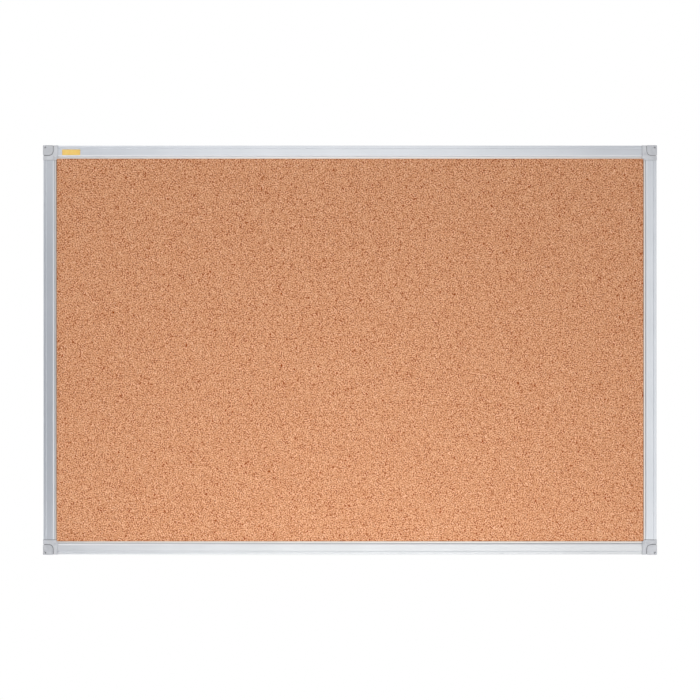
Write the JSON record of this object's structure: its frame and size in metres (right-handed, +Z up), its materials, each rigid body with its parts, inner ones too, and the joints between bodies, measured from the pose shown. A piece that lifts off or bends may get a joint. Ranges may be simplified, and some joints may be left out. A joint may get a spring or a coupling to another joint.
{
  "type": "cork notice board",
  "caption": "Wall-hung cork notice board in an aluminium frame, with moulded grey corners and snap-in caps that hide the wall screws.",
  "frame": {"origin": "middle of the board on the wall plane, behind the panel", "axes": "+Z up, +X to the right as seen from the front, +Y into the wall, so the front faces -Y"},
  "size_m": [0.9012, 0.0176, 0.6012],
  "materials": {
    "cork": "granulated natural cork, unsealed",
    "core": "raw fibre softboard",
    "backing": "plain brown paper sheet",
    "rail": "natural satin anodised extrusion",
    "corner": "light grey, fine spark texture",
    "cap": "light grey, fine spark texture",
    "screw": "zinc plated",
    "label": "gold film, bare"
  },
  "bodies": {
    "board": {"backing_sheet": "backing", "core_board": "core", "cork_sheet": "cork", "rail_bottom": "rail", "rail_left": "rail", "rail_top": "rail", "rail_right": "rail", "corner_body_bottom_left": "corner", "corner_body_top_left": "corner", "corner_body_top_right": "corner", "corner_body_bottom_right": "corner", "frame_screw_bottom_left": "screw", "frame_screw_bottom_right": "screw", "frame_screw_left_upper": "screw", "frame_screw_left_lower": "screw", "frame_screw_top_right": "screw", "frame_screw_top_left": "screw", "frame_screw_right_lower": "screw", "frame_screw_right_upper": "screw"},
    "cap_bottom_left": {"corner_cap_bottom_left": "cap"},
    "cap_top_left": {"corner_cap_top_left": "cap"},
    "cap_top_right": {"corner_cap_top_right": "cap"},
    "cap_bottom_right": {"corner_cap_bottom_right": "cap"}
  },
  "joints": [
    {"name": "cap_bottom_left_lift", "type": "slide", "parent": "board", "child": "cap_bottom_left", "axis": [0, -1, 0], "range_m": [0, 0.025]},
    {"name": "cap_top_left_lift", "type": "slide", "parent": "board", "child": "cap_top_left", "axis": [0, -1, 0], "range_m": [0, 0.025]},
    {"name": "cap_top_right_lift", "type": "slide", "parent": "board", "child": "cap_top_right", "axis": [0, -1, 0], "range_m": [0, 0.025]},
    {"name": "cap_bottom_right_lift", "type": "slide", "parent": "board", "child": "cap_bottom_right", "axis": [0, -1, 0], "range_m": [0, 0.025]}
  ]
}
